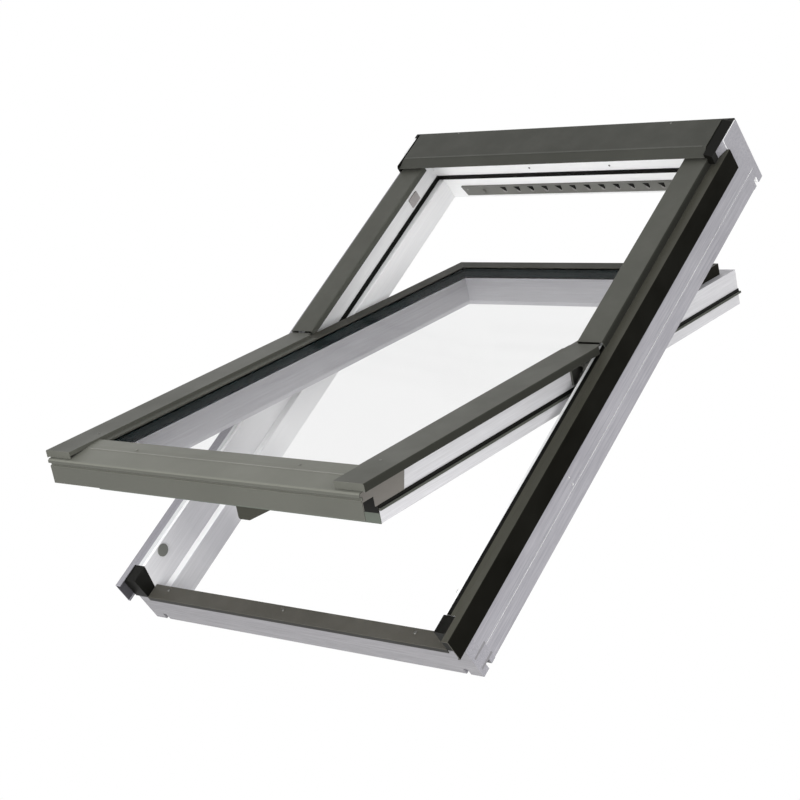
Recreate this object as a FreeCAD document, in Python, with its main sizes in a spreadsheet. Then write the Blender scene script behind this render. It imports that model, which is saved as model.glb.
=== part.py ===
import FreeCAD, Part
import os

import Sketcher

# A centre pivot roof window, standing at its roof pitch with the sash swung open.
#
# Every piece is drawn in the plane of the closed window: x runs across the width,
# y runs up the slope and z stands square out of the roof. Zero of x is the middle
# of the window, zero of y the lower end of the frame, zero of z the weather side
# of the timber at the head. The frame is then turned about x to the roof pitch,
# and the sash is also swung about the pivot line.

document = FreeCAD.newDocument("PivotWindow")
sheet = document.addObject("Spreadsheet::Sheet", "Sizes")

SIZES = [
    # The window as a whole
    ("frame_width", 780), ("frame_height", 1180), ("frame_depth", 143),
    ("roof_pitch", 45), ("sash_opening", 27.5), ("pivot_rise", 5), ("datum_depth", 108),
    ("metal", 1.5), ("seat_gap", 0.2), ("cut_margin", 1),
    # Timber frame
    ("jamb_width", 34), ("stop_width", 14), ("stop_depth", 89), ("stop_bevel", 2),
    ("jamb_top_depth", 24), ("head_width", 40), ("shoulder_length", 50), ("shoulder_gap", 0.5),
    ("side_groove_depth", 2), ("side_groove_width", 1.5), ("side_groove_end_gap", 15),
    ("sill_nose", 26), ("sill_depth", 72), ("sill_width", 40), ("sill_ledge_depth", 104),
    ("groove_width", 10), ("groove_depth", 15), ("groove_setback", 12),
    ("timber_round", 2), ("pilot_radius", 2.5), ("pilot_depth", 25), ("pilot_height", 373),
    ("pilot_level", 93), ("pilot_spacing", 17),
    # Metal on the frame
    ("channel_stand", 5), ("channel_flange", 14), ("channel_leg", 46),
    ("channel_overhang", 20), ("channel_top_gap", 58.5), ("channel_notch", 19), ("channel_notch_width", 7.5),
    ("cover_width", 54.3), ("cover_outer", 16.2), ("cover_drop", 7.4), ("cover_lip", 13),
    ("cover_end_gap", 23.4), ("cover_bend", 3), ("strip_front", 5), ("strip_lip", 9),
    ("hood_length", 106), ("hood_rise", 9), ("hood_slope", 23), ("hood_edge", 1.3), ("hood_end", 18),
    ("hood_end_slope", 4), ("hood_setback", 8), ("hood_skirt", 12), ("hood_lip_gap", 2),
    ("cap_rise", 1.8), ("cap_tab", 4), ("cap_tab_drop", 15),
    ("block_foot", 20), ("block_head", 31), ("block_front", 4),
    # Sash timber
    ("sash_side_gap", 9), ("sash_top_gap", 10), ("sash_foot", 36), ("sash_inner_depth", 94),
    ("sash_top_depth", 24), ("stile_width", 37), ("top_rail_width", 54), ("bottom_rail_width", 64),
    ("inner_bevel", 12),
    # Glass
    ("glass_level", 8), ("pane", 4), ("spacer_depth", 16), ("glass_bite", 14),
    ("glass_foot_lap", 2), ("glass_edge_gap", 1),
    # Metal on the sash
    ("cover_rise", 1.5), ("side_cover_outer", 16), ("side_cover_edge", 14), ("side_cover_end_gap", 24),
    ("side_cover_tip", 27), ("side_cover_front", 12.5), ("cover_step", 15), ("cover_step_drop", 6),
    ("end_notch", 10), ("end_notch_width", 3), ("bead_gap", 1),
    ("apron_width", 732), ("apron_lap", 9), ("apron_rise", 6), ("apron_crease", 22),
    ("apron_crease_drop", 1.5), ("apron_overhang", 33.5), ("apron_lip", 12.7), ("apron_nose", 2.5),
    ("apron_roll", 15),
    ("apron_roll_foot", 19.5), ("apron_crimp", 5.5), ("crimp_top", 21.5), ("crimp_foot", 24.5),
    ("apron_wall_set", 2.5), ("apron_wall_top", 26), ("apron_foot", 58),
    ("bracket_length", 140), ("bracket_slant", 12), ("bracket_notch_start", 3), ("bracket_notch_end", 29),
    ("bracket_notch_top", 45), ("bead_width", 22), ("bead_end_gap", 12), ("bead_drop", 2),
    # Seals
    ("seal_width", 3), ("seal_height", 9), ("gasket_start", 30), ("jamb_seal_setback", 7),
    ("sash_seal_width", 2), ("sash_seal_top", 62), ("sash_seal_height", 6),
    ("drip_width", 4), ("drip_height", 4), ("drip_tip", 4),
    # Hinges
    ("track_radius", 40), ("track_wall", 5), ("track_depth", 10), ("track_floor", 4), ("track_arc", 90),
    ("track_foot", 62), ("link_width", 12), ("link_arc", 60), ("link_depth", 10),
    ("tongue_width", 6), ("tongue_depth", 5), ("shoe_arc", 30), ("hinge_end_angle", 45),
    ("shoe_plate", 4), ("shoe_length", 70), ("shoe_shift", 10), ("shoe_foot", 58),
    # Ventilator, handle and plugs
    ("vent_length", 610), ("vent_height", 24.5), ("vent_level", 110), ("vent_thick", 4), ("vent_slant", 7),
    ("vent_hole", 4), ("vent_pitch", 35.5), ("vent_holes", 12), ("knob_place", 248), ("knob_radius", 5),
    ("knob_length", 5),
    ("handle_left", 22), ("handle_length", 106), ("handle_width", 30), ("handle_thick", 4),
    ("handle_edge_gap", 12), ("lever_drop", 28), ("lever_back", 15), ("lever_flat", 26), ("lever_width", 24),
    ("plug_radius", 12), ("plug_height", 80), ("plug_level", 37), ("plug_proud", 2),
    # Catch plate, its height measured down from the head
    ("catch_height", 75), ("catch_length", 30), ("catch_level", 54), ("catch_width", 20),
    ("catch_thick", 3),
]

for row, (alias, number) in enumerate(SIZES, start=1):
    sheet.set("A%d" % row, alias)
    sheet.set("B%d" % row, str(number))
    sheet.setAlias("B%d" % row, alias)
document.recompute()


class Size:
    """A length that carries its number and the sheet expression it came from."""

    def __init__(self, value, text):
        self.value = float(value)
        self.text = text

    def joined(self, sign, other, value):
        return Size(value, "(%s %s %s)" % (self.text, sign, other.text))

    def __add__(self, other):
        other = size_of(other)
        return self.joined("+", other, self.value + other.value)

    def __sub__(self, other):
        other = size_of(other)
        return self.joined("-", other, self.value - other.value)

    def __mul__(self, other):
        other = size_of(other)
        return self.joined("*", other, self.value * other.value)

    def __truediv__(self, other):
        other = size_of(other)
        return self.joined("/", other, self.value / other.value)

    def __neg__(self):
        return size_of(0) - self


def size_of(number):
    return number if isinstance(number, Size) else Size(number, repr(float(number)))


class Sheet:
    """Gives each alias of the sheet as a Size."""

    def __getattr__(self, alias):
        return Size(sheet.get(alias), "Sizes.%s" % alias)


s = Sheet()

# Lines that several pieces share
half_width = s.frame_width / 2
jamb_inner = half_width - s.jamb_width
stop_inner = jamb_inner - s.stop_width
head_inner = s.frame_height - s.head_width
pivot_y = s.frame_height / 2
sash_half = stop_inner - s.sash_side_gap
sash_head = head_inner - s.sash_top_gap
glass_half = sash_half - s.stile_width
cover_outer_x = half_width - s.cover_outer
cover_inner_x = cover_outer_x - s.cover_width
shoulder_foot = head_inner - s.shoulder_length
channel_top = -s.jamb_top_depth + s.metal
channel_outer = half_width + s.channel_stand
channel_head = s.frame_height - s.channel_top_gap
flange_inner = channel_outer - s.channel_flange
stile_top = -s.sash_top_depth
glass_top = -s.glass_level
glass_under = glass_top - s.pane * 2 - s.spacer_depth
bead_outer = glass_half + s.bead_width

# The frame stands at the roof pitch, with the origin on the flat lower end of the sill
tilt = FreeCAD.Rotation(FreeCAD.Vector(1, 0, 0), s.roof_pitch.value)
datum = FreeCAD.Vector(0, 0, -s.datum_depth.value)
frame_place = FreeCAD.Placement(-tilt.multVec(datum), tilt)
pivot_point = FreeCAD.Vector(0, pivot_y.value, s.pivot_rise.value)


def swung(degrees):
    """The placement of a piece that has turned about the pivot line, its foot moving outward."""
    turn = FreeCAD.Rotation(FreeCAD.Vector(1, 0, 0), -degrees)
    return frame_place * FreeCAD.Placement(pivot_point - turn.multVec(pivot_point), turn)


sash_place = swung(s.sash_opening.value)
link_place = swung(s.sash_opening.value / 2)

parts = []


def keep(item, label, place):
    """Names a finished sub-part and puts it where it belongs."""
    item.Label = label
    item.Placement = place
    parts.append(item)


def bind(item, **sizes):
    """Ties properties of an object to the sheet."""
    for name, size in sizes.items():
        item.setExpression(name, size_of(size).text)


def outline(sketch, points):
    """Draws a closed outline whose corners are held at the sizes given."""
    first = sketch.GeometryCount
    count = len(points)
    corners = [(size_of(x), size_of(y)) for x, y in points]
    for i in range(count):
        x0, y0 = corners[i]
        x1, y1 = corners[(i + 1) % count]
        start = FreeCAD.Vector(x0.value, y0.value, 0)
        end = FreeCAD.Vector(x1.value, y1.value, 0)
        sketch.addGeometry(Part.LineSegment(start, end), False)
    for i in range(count):
        sketch.addConstraint(Sketcher.Constraint("Coincident", first + i, 2, first + (i + 1) % count, 1))
    for i, (x, y) in enumerate(corners):
        hold(sketch, first + i, 1, x, y)


def hold(sketch, line, point, x, y):
    """Holds one point of a sketch at two sizes from its origin."""
    for kind, size in (("DistanceX", x), ("DistanceY", y)):
        index = sketch.addConstraint(Sketcher.Constraint(kind, line, point, size.value))
        sketch.setExpression("Constraints[%d]" % index, size.text)


def circle(sketch, x, y, radius):
    """Draws a circle whose centre and radius are held at the sizes given."""
    x, y, radius = size_of(x), size_of(y), size_of(radius)
    centre = FreeCAD.Vector(x.value, y.value, 0)
    ring = sketch.addGeometry(Part.Circle(centre, FreeCAD.Vector(0, 0, 1), radius.value), False)
    hold(sketch, ring, 3, x, y)
    index = sketch.addConstraint(Sketcher.Constraint("Radius", ring, radius.value))
    sketch.setExpression("Constraints[%d]" % index, radius.text)


# The drawing planes: the origin feature, and the sign of its normal along the axis.
# A sketch across the window shows y and z, one along it x and z, a flat one x and y.
PLANES = {"across": ("YZ_Plane", 1), "along": ("XZ_Plane", -1), "flat": ("XY_Plane", 1)}


def origin_feature(body, role):
    return [feature for feature in body.Origin.OriginFeatures if feature.Role == role][0]


def sketch_on(body, name, plane, level):
    """A sketch on one of the body's own planes, moved to a level on that plane's axis."""
    role, sign = PLANES[plane]
    sketch = body.newObject("Sketcher::SketchObject", name)
    sketch.AttachmentSupport = [(origin_feature(body, role), "")]
    sketch.MapMode = "FlatFace"
    offset = size_of(level) * sign
    sketch.AttachmentOffset = FreeCAD.Placement(FreeCAD.Vector(0, 0, offset.value), FreeCAD.Rotation())
    sketch.setExpression("AttachmentOffset.Base.z", offset.text)
    return sketch


def add(body, name, plane, points, start, end):
    """Pads an outline onto a body, between two levels along the plane's axis."""
    sketch = sketch_on(body, name + "_outline", plane, start)
    outline(sketch, points)
    pad = body.newObject("PartDesign::Pad", name)
    pad.Profile = sketch
    bind(pad, Length=size_of(end) - start)
    pad.Reversed = PLANES[plane][1] < 0
    body.Tip = pad


def bar(name, plane, points, start, end):
    """A new body padded from one outline between two levels."""
    body = document.addObject("PartDesign::Body", name)
    add(body, name + "_pad", plane, points, start, end)
    return body


def cut(body, name, plane, draw, start, end):
    """Pockets what draw puts in the sketch out of a body, between two levels."""
    document.recompute()
    before = body.Tip.Shape.Volume
    sketch = sketch_on(body, name + "_outline", plane, start)
    draw(sketch)
    pocket = body.newObject("PartDesign::Pocket", name)
    pocket.Profile = sketch
    bind(pocket, Length=size_of(end) - start)
    pocket.Reversed = PLANES[plane][1] > 0
    body.Tip = pocket
    document.recompute()
    if pocket.Shape.Volume >= before:
        raise RuntimeError("%s takes nothing away" % name)


def cut_outline(body, name, plane, points, start, end):
    cut(body, name, plane, lambda sketch: outline(sketch, points), start, end)


def rounded(body, name, plane, corners, radius):
    """Rounds the straight edges that run square to the plane through the given corners."""
    document.recompute()
    axis = {"across": 0, "along": 1, "flat": 2}[plane]
    others = [i for i in range(3) if i != axis]
    wanted = [(size_of(x).value, size_of(y).value) for x, y in corners]
    base = body.Tip
    names = []
    for number, edge in enumerate(base.Shape.Edges, start=1):
        ends = [vertex.Point for vertex in edge.Vertexes]
        if len(ends) != 2 or not isinstance(edge.Curve, Part.Line):
            continue
        straight = all(abs(ends[0][i] - ends[1][i]) < 1e-6 for i in others)
        place = [ends[0][i] for i in others]
        if straight and any(abs(place[0] - x) + abs(place[1] - y) < 1e-6 for x, y in wanted):
            names.append("Edge%d" % number)
    fillet = body.newObject("PartDesign::Fillet", name)
    fillet.Base = (base, names)
    bind(fillet, Radius=radius)
    body.Tip = fillet


def mirrored(points):
    """The same outline on the other side of the middle of the window."""
    return [(-size_of(x), y) for x, y in reversed(points)]


def side_points(left, points):
    return mirrored(points) if left else points


def on_side(left, low, high):
    """A stretch of x on the right side, or its mirror image on the left."""
    return (-high, -low) if left else (low, high)


def box_outline(x0, x1, y0, y1):
    return [(x0, y0), (x1, y0), (x1, y1), (x0, y1)]


SIDES = [("left", True), ("right", False)]


def both_sides(name, points, start, end):
    """A left and a right bar along the slope, from the outline of the right one."""
    for side, left in SIDES:
        label = side + "_" + name
        yield label, left, bar(label, "along", side_points(left, points), start, end)


def fused(name, first, second):
    item = document.addObject("Part::Fuse", name)
    item.Base = first
    item.Tool = second
    return item


# Timber frame: two jambs between a head and a sill, grooved on the room side for a lining

room_face = -s.frame_depth
stop_foot = -s.stop_depth - s.stop_bevel
groove_x = stop_inner + s.groove_setback
groove_sill = s.sill_width - s.groove_setback - s.groove_width
groove_head = head_inner + s.groove_setback


def lining_groove(body, name, cross=None):
    """Cuts the grooves that run up the sides, and the one across at the level given."""
    def draw(sketch):
        for side, left in SIDES:
            low, high = on_side(left, groove_x, groove_x + s.groove_width)
            outline(sketch, box_outline(low, high, -s.cut_margin, s.frame_height + s.cut_margin))
    groove_top = room_face + s.groove_depth
    cut(body, name, "flat", draw, room_face, groove_top)
    if cross is not None:
        reach = half_width + s.cut_margin
        strip = box_outline(-reach, reach, cross, cross + s.groove_width)
        cut_outline(body, name + "_across", "flat", strip, room_face, groove_top)


def side_groove(body, name, left, start, end):
    """Cuts the fine groove that runs along the outer side face."""
    low, high = on_side(left, half_width - s.side_groove_depth, half_width + s.cut_margin)
    level = -s.datum_depth
    strip = box_outline(low, high, level - s.side_groove_width / 2, level + s.side_groove_width / 2)
    cut_outline(body, name, "along", strip, start, end)


def pilot_holes(sketch):
    for step in (-0.5, 0.5):
        circle(sketch, s.pilot_height, -s.pilot_level + s.pilot_spacing * step, s.pilot_radius)


jamb_section = [
    (stop_inner, room_face), (half_width, room_face), (half_width, -s.jamb_top_depth),
    (jamb_inner, -s.jamb_top_depth), (jamb_inner, -s.stop_depth), (stop_inner, stop_foot),
]
jamb_rounds = [(stop_inner, room_face), (half_width, room_face), (stop_inner, stop_foot)]
shoulder_x = flange_inner - s.shoulder_gap
shoulder = [
    (jamb_inner, shoulder_foot), (shoulder_x, shoulder_foot),
    (shoulder_x, channel_head - s.channel_notch + s.shoulder_gap),
    (shoulder_x + s.channel_notch_width, channel_head + s.shoulder_gap),
    (half_width, channel_head + s.shoulder_gap), (half_width, head_inner), (jamb_inner, head_inner),
]
sill_seat = [
    (-s.cut_margin, room_face - s.cut_margin), (s.sill_width, room_face - s.cut_margin),
    (s.sill_width, -s.sill_ledge_depth), (s.sill_nose, -s.sill_ledge_depth),
    (s.sill_nose, -s.sill_depth), (s.block_foot, -s.sill_depth), (s.block_head, -s.jamb_top_depth),
    (s.block_head, s.cut_margin), (-s.cut_margin, s.cut_margin),
]
for name, left, body in both_sides("jamb", jamb_section, 0, head_inner):
    rounded(body, name + "_rounds", "along", side_points(left, jamb_rounds), s.timber_round)
    add(body, name + "_shoulder", "flat", side_points(left, shoulder), -s.jamb_top_depth, 0)
    seat_reach = on_side(left, stop_inner - s.cut_margin, half_width + s.cut_margin)
    cut_outline(body, name + "_sill_seat", "across", sill_seat, *seat_reach)
    lining_groove(body, name + "_lining_groove")
    side_groove(body, name + "_side_groove", left, s.sill_nose, head_inner)
    cut(body, name + "_pilots", "across", pilot_holes, *on_side(left, half_width - s.pilot_depth, half_width))
    keep(body, name, frame_place)

sill_section = [
    (0, room_face), (s.sill_width, room_face), (s.sill_width, -s.sill_ledge_depth),
    (s.sill_nose, -s.sill_ledge_depth), (s.sill_nose, -s.sill_depth), (0, -s.sill_depth),
]
body = bar("sill", "across", sill_section, -half_width, half_width)
rounded(body, "sill_rounds", "across", [(0, room_face), (s.sill_width, -s.sill_ledge_depth)], s.timber_round)
lining_groove(body, "sill_lining_groove", groove_sill)
keep(body, "sill", frame_place)

head_section = box_outline(head_inner, s.frame_height, room_face, 0)
head_rounds = [(s.frame_height, room_face), (s.frame_height, 0), (head_inner, room_face)]
body = bar("head", "across", head_section, -half_width, half_width)
rounded(body, "head_rounds", "across", head_rounds, s.timber_round)
lining_groove(body, "head_lining_groove", groove_head)
for side, left in SIDES:
    side_groove(body, "head_groove_" + side, left, head_inner, s.frame_height - s.side_groove_end_gap)
keep(body, "head", frame_place)

# Rubber blocks that close the lower ends of the jambs, over the nose of the sill

block_section = [
    (-s.block_front, -s.sill_depth), (s.block_foot - s.seat_gap, -s.sill_depth),
    (s.block_head - s.seat_gap, -s.jamb_top_depth), (-s.block_front, -s.jamb_top_depth),
]
for side, left in SIDES:
    name = side + "_corner_block"
    keep(bar(name, "across", block_section, *on_side(left, jamb_inner, half_width)), name, frame_place)

# Metal channels along the sides, hooked at the lower edge to take the flashing

channel_foot = channel_top - s.channel_leg
channel_section = [
    (flange_inner, channel_top), (flange_inner, channel_top - s.metal),
    (channel_outer - s.metal, channel_top - s.metal), (channel_outer - s.metal, channel_foot + s.metal),
    (half_width + s.seat_gap, channel_foot + s.metal), (half_width + s.seat_gap, channel_foot),
    (channel_outer, channel_foot), (channel_outer, channel_top),
]
channel_bends = [(channel_outer, channel_foot), (channel_outer, channel_top)]
channel_notch = [
    (flange_inner - s.cut_margin, channel_head - s.channel_notch),
    (flange_inner, channel_head - s.channel_notch),
    (flange_inner + s.channel_notch_width, channel_head),
    (flange_inner + s.channel_notch_width, channel_head + s.cut_margin),
    (flange_inner - s.cut_margin, channel_head + s.cut_margin),
]
for name, left, body in both_sides("side_channel", channel_section, -s.channel_overhang, channel_head):
    rounded(body, name + "_bends", "along", side_points(left, channel_bends), s.metal)
    cut_outline(body, name + "_notch", "flat", side_points(left, channel_notch),
                channel_top - s.metal, channel_top)
    keep(body, name, frame_place)

# Black sealing strips on the jambs, between the covers and the channels

seal_strip = box_outline(jamb_inner + s.jamb_seal_setback, flange_inner - s.seat_gap,
                         -s.jamb_top_depth, channel_top)
strips = [body for name, left, body in both_sides("jamb_strip", seal_strip, s.block_head,
                                                  shoulder_foot - s.seat_gap)]
keep(fused("jamb_seals", *strips), "jamb_seals", frame_place)

# Metal strip over the nose of the sill, folded down in front of it

strip_top = -s.sill_depth + s.metal
strip_section = [
    (-s.strip_front, strip_top - s.strip_lip), (-s.strip_front + s.metal, strip_top - s.strip_lip),
    (-s.strip_front + s.metal, -s.sill_depth), (s.sill_nose, -s.sill_depth),
    (s.sill_nose, strip_top), (-s.strip_front, strip_top),
]
body = bar("sill_strip", "across", strip_section, -jamb_inner, jamb_inner)
rounded(body, "sill_strip_bend", "across", [(-s.strip_front, strip_top)], s.metal)
keep(body, "sill_strip", frame_place)

# Upper side covers on the frame, from under the hood down to the pivot line

upper_top = -s.cover_drop
upper_lip = upper_top - s.cover_lip
upper_foot = channel_top + s.seat_gap
upper_cover_section = [
    (cover_inner_x, upper_top), (cover_inner_x, upper_lip), (cover_inner_x + s.metal, upper_lip),
    (cover_inner_x + s.metal, upper_top - s.metal), (cover_outer_x - s.metal, upper_top - s.metal),
    (cover_outer_x - s.metal, upper_foot), (cover_outer_x, upper_foot), (cover_outer_x, upper_top),
]
upper_bends = [(cover_inner_x, upper_top), (cover_outer_x, upper_top)]
for name, left, body in both_sides("upper_cover", upper_cover_section, pivot_y + s.cover_end_gap,
                                   shoulder_foot - s.seat_gap):
    rounded(body, name + "_bends", "along", side_points(left, upper_bends), s.cover_bend)
    keep(body, name, frame_place)

# Hood over the head: a pressed cap with a sloping front edge and sloping ends

hood_foot = s.frame_height - s.hood_length
hood_back = s.frame_height - s.hood_setback
hood_under = s.seat_gap
hood_half = half_width - s.hood_end
hood_section = [
    (hood_foot, hood_under), (hood_back, hood_under), (hood_back, s.hood_rise),
    (hood_foot + s.hood_slope, s.hood_rise), (hood_foot, hood_under + s.hood_edge),
]
end_wedge = [
    (hood_half, hood_under), (hood_half + s.cut_margin, hood_under),
    (hood_half + s.cut_margin, s.hood_rise + s.cut_margin),
    (hood_half - s.hood_end_slope, s.hood_rise + s.cut_margin), (hood_half - s.hood_end_slope, s.hood_rise),
]
body = bar("hood", "across", hood_section, -hood_half, hood_half)
for side, left in SIDES:
    cut_outline(body, "hood_end_" + side, "along", side_points(left, end_wedge),
                hood_foot - s.cut_margin, hood_back + s.cut_margin)
cap = body.Tip
underside = [
    "Face%d" % number for number, face in enumerate(cap.Shape.Faces, start=1)
    if abs(face.CenterOfMass.z - hood_under.value) < 1e-6
]
shell = body.newObject("PartDesign::Thickness", "hood_shell")
shell.Base = (cap, underside)
bind(shell, Value=s.metal)
shell.Reversed = True
body.Tip = shell
lip_front = hood_back - s.metal
lip_half = half_width - s.hood_lip_gap
skirt = [
    (lip_front, hood_under), (s.frame_height, hood_under), (s.frame_height, -s.hood_skirt),
    (s.frame_height + s.metal, -s.hood_skirt), (s.frame_height + s.metal, hood_under + s.metal),
    (lip_front, hood_under + s.metal),
]
add(body, "hood_skirt", "across", skirt, -lip_half, lip_half)
keep(body, "hood", frame_place)

# Black end caps beside the hood, each with a tab down over the end of the side cover

cap_inner = hood_half + s.seat_gap
cap_section = [
    (cap_inner, hood_under), (lip_half, hood_under), (lip_half, hood_under + s.cap_rise),
    (cap_inner, s.hood_rise),
]
cap_tab = box_outline(cap_inner + s.cap_tab, lip_half, -s.cap_tab_drop, hood_under)
caps = []
for name, left, body in both_sides("hood_cap", cap_section, hood_foot, lip_front - s.seat_gap):
    add(body, name + "_tab", "along", side_points(left, cap_tab), hood_foot, shoulder_foot - s.shoulder_gap)
    caps.append(body)
keep(fused("hood_ends", *caps), "hood_ends", frame_place)

# Gaskets on the jambs above the stops in the upper half of the frame, and on the head

gasket_foot = -s.stop_depth
gasket_top = gasket_foot + s.seal_height
gasket_section = box_outline(jamb_inner - s.seal_width, jamb_inner, gasket_foot, gasket_top)
for name, left, body in both_sides("frame_gasket", gasket_section, pivot_y + s.gasket_start,
                                   head_inner - s.seal_width):
    keep(body, name, frame_place)
head_gasket = box_outline(head_inner - s.seal_width, head_inner, gasket_foot, gasket_top)
keep(bar("head_gasket", "across", head_gasket, -jamb_inner, jamb_inner), "head_gasket", frame_place)

# Catch plate near the top of the left jamb

catch_head = head_inner - s.catch_height
catch_outline = box_outline(catch_head - s.catch_length, catch_head,
                            -s.catch_level - s.catch_width, -s.catch_level)
body = bar("catch_plate", "across", catch_outline, -jamb_inner, -jamb_inner + s.catch_thick)
keep(body, "catch_plate", frame_place)

# Ventilator bar on the inner face of the head, pierced by a row of holes, and its knob

vent_half = s.vent_length / 2
vent_top = -s.vent_level
vent_face = head_inner - s.vent_thick
vent_middle = vent_top - s.vent_height / 2
first_hole = -s.vent_pitch * (s.vent_holes - 1) / 2
vent_outline = [
    (-vent_half, vent_top), (-vent_half + s.vent_slant, vent_top - s.vent_height),
    (vent_half - s.vent_slant, vent_top - s.vent_height), (vent_half, vent_top),
]
body = bar("ventilator", "along", vent_outline, vent_face, head_inner)
cut(body, "vent_hole", "along", lambda sketch: circle(sketch, first_hole, vent_middle, s.vent_hole),
    vent_face, head_inner)
vent_hole = body.Tip
vent_row = body.newObject("PartDesign::LinearPattern", "vent_row")
vent_row.Originals = [vent_hole]
vent_row.Direction = (origin_feature(body, "X_Axis"), [""])
bind(vent_row, Length=s.vent_pitch * (s.vent_holes - 1), Occurrences=s.vent_holes)
body.Tip = vent_row
keep(body, "ventilator", frame_place)

knob = document.addObject("Part::Cylinder", "vent_knob")
bind(knob, Radius=s.knob_radius, Height=s.knob_length)
knob_spot = FreeCAD.Vector(-s.knob_place.value, vent_face.value, vent_middle.value)
knob_turn = FreeCAD.Rotation(FreeCAD.Vector(1, 0, 0), 90)
keep(knob, "vent_knob", frame_place * FreeCAD.Placement(knob_spot, knob_turn))

# Plugs over the fixing holes, one low on each jamb

for side, left in SIDES:
    plug = document.addObject("Part::Cylinder", side + "_plug")
    bind(plug, Radius=s.plug_radius, Height=s.plug_proud)
    inward = 1 if left else -1
    plug_spot = FreeCAD.Vector(-jamb_inner.value * inward, s.plug_height.value, -s.plug_level.value)
    plug_turn = FreeCAD.Rotation(FreeCAD.Vector(0, 1, 0), 90 * inward)
    keep(plug, side + "_plug", frame_place * FreeCAD.Placement(plug_spot, plug_turn))

# Sash timber: two stiles with the rails between them, bevelled on the room side

sash_room_face = -s.sash_inner_depth
bevel_top = sash_room_face + s.inner_bevel
rebate_x = glass_half + s.glass_bite
stile_section = [
    (glass_half + s.inner_bevel, sash_room_face), (sash_half, sash_room_face), (sash_half, stile_top),
    (rebate_x, stile_top), (rebate_x, glass_under), (glass_half, glass_under), (glass_half, bevel_top),
]
for name, left, body in both_sides("stile", stile_section, s.sash_foot, sash_head):
    rounded(body, name + "_round", "along", side_points(left, [(sash_half, sash_room_face)]), s.timber_round)
    keep(body, name, sash_place)

rail_inner = s.sash_foot + s.bottom_rail_width
glass_head = sash_head - s.top_rail_width
bottom_rail_section = [
    (s.sash_foot, sash_room_face), (rail_inner - s.inner_bevel, sash_room_face),
    (rail_inner, bevel_top), (rail_inner, glass_under), (s.sash_foot, glass_under),
]
top_rail_section = [
    (glass_head + s.inner_bevel, sash_room_face), (sash_head, sash_room_face), (sash_head, stile_top),
    (glass_head + s.glass_bite, stile_top), (glass_head + s.glass_bite, glass_under),
    (glass_head, glass_under), (glass_head, bevel_top),
]
for name, section in (("bottom_rail", bottom_rail_section), ("top_rail", top_rail_section)):
    body = bar(name, "across", section, -rebate_x, rebate_x)
    for side, left in SIDES:
        cut_outline(body, "%s_%s_joint" % (name, side), "along", side_points(left, stile_section),
                    s.sash_foot, sash_head)
    keep(body, name, sash_place)

# Double glazing, bedded in the stiles and running down over the bottom rail

pane_x = rebate_x - s.glass_edge_gap
pane_head = glass_head + s.glass_bite - s.glass_edge_gap
apron_back = s.sash_foot + s.apron_lap
pane_outline = box_outline(-pane_x, pane_x, s.sash_foot + s.glass_foot_lap, pane_head)
keep(bar("outer_pane", "flat", pane_outline, glass_top - s.pane, glass_top), "outer_pane", sash_place)
keep(bar("inner_pane", "flat", pane_outline, glass_under, glass_under + s.pane), "inner_pane", sash_place)
body = bar("glass_spacer", "flat", pane_outline, glass_under + s.pane, glass_top - s.pane)
cavity = box_outline(-glass_half, glass_half, apron_back, glass_head)
cut_outline(body, "glass_cavity", "flat", cavity, glass_under + s.pane, glass_top - s.pane)
keep(body, "glass_spacer", sash_place)

# Lower side covers on the sash, from the pivot line down past the foot of the sash

cover_top = s.cover_rise
side_cover_x = half_width - s.side_cover_outer
side_cover_end = pivot_y + s.side_cover_end_gap
cover_step_x = glass_half + s.cover_step
cover_strip = cover_top - s.cover_step_drop
glass_lip = glass_top + s.seat_gap
apron_back_top = glass_top + s.apron_rise
apron_front = -s.apron_overhang
nose_y = apron_front + s.apron_nose
crease_y = apron_back - s.apron_crease
crease_top = apron_back_top - s.apron_crease_drop
side_cover_section = [
    (glass_half, cover_strip), (glass_half, glass_lip), (glass_half + s.metal, glass_lip),
    (glass_half + s.metal, cover_strip - s.metal), (cover_step_x + s.metal, cover_strip - s.metal),
    (cover_step_x + s.metal, cover_top - s.metal), (side_cover_x - s.metal, cover_top - s.metal),
    (side_cover_x - s.metal, cover_top - s.side_cover_edge), (side_cover_x, cover_top - s.side_cover_edge),
    (side_cover_x, cover_top), (cover_step_x, cover_top), (cover_step_x, cover_strip),
]
front_lip = box_outline(cover_step_x, side_cover_x, cover_top - s.side_cover_front, cover_top)
strip_end = box_outline(-s.side_cover_tip - s.cut_margin, apron_back, glass_lip - s.cut_margin,
                        cover_strip + s.cut_margin)
step_end = [
    (nose_y, glass_lip - s.cut_margin), (apron_back, glass_lip - s.cut_margin),
    (apron_back, apron_back_top + s.seat_gap), (crease_y, crease_top + s.seat_gap),
    (nose_y, -s.apron_lip + s.seat_gap),
]
end_notch_y = side_cover_end - s.end_notch
for name, left, body in both_sides("side_cover", side_cover_section, -s.side_cover_tip, side_cover_end):
    strip_reach = on_side(left, glass_half - s.cut_margin, cover_step_x)
    cut_outline(body, name + "_strip_end", "across", strip_end, *strip_reach)
    step_reach = on_side(left, cover_step_x - s.cut_margin, cover_step_x + s.metal * 2)
    cut_outline(body, name + "_step_end", "across", step_end, *step_reach)
    notches = [
        ("outer", side_cover_x - s.end_notch_width, side_cover_x + s.cut_margin),
        ("inner", glass_half - s.cut_margin, bead_outer + s.bead_gap),
    ]
    for place, low, high in notches:
        notch = box_outline(*on_side(left, low, high), end_notch_y, side_cover_end + s.cut_margin)
        cut_outline(body, name + "_notch_" + place, "flat", notch,
                    cover_top - s.side_cover_edge - s.cut_margin, cover_top + s.cut_margin)
    add(body, name + "_front_lip", "along", side_points(left, front_lip), -s.side_cover_tip,
        -s.side_cover_tip + s.metal)
    rounded(body, name + "_bend", "along", side_points(left, [(side_cover_x, cover_top)]), s.cover_bend)
    keep(body, name, sash_place)

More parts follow.
